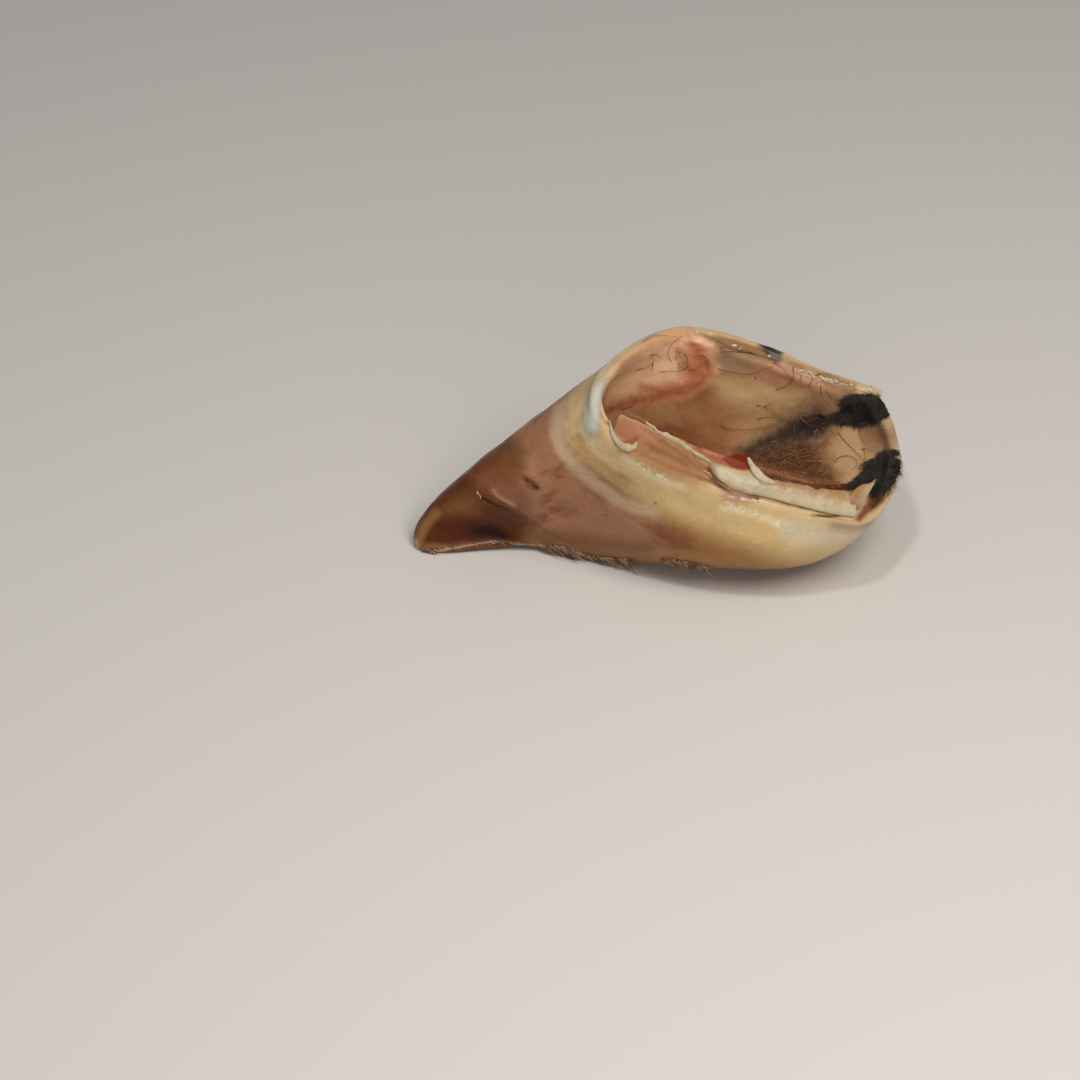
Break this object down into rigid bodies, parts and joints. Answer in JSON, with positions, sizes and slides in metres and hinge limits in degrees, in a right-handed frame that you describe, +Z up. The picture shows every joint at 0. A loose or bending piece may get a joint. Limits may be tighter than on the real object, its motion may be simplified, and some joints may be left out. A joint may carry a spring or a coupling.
{
  "type": "untrimmed hoof",
  "caption": "Hollow horn shell of one claw of a cattle foot, with a thick coronet rim, a soft heel bulb and a torn inner sheet.",
  "frame": {"origin": "centre of the footprint's bounding rectangle, at the height of the ground surface", "axes": "+X from the toe to the heel, +Y towards the claw's outer side, +Z up; the claw stands on its sole"},
  "size_m": [0.1472, 0.0692, 0.0634],
  "materials": {
    "horn": "moist, cream and amber horn with brown-pink stains, hair at the coronet"
  },
  "bodies": {
    "root": {"hoof": "horn"}
  },
  "joints": []
}
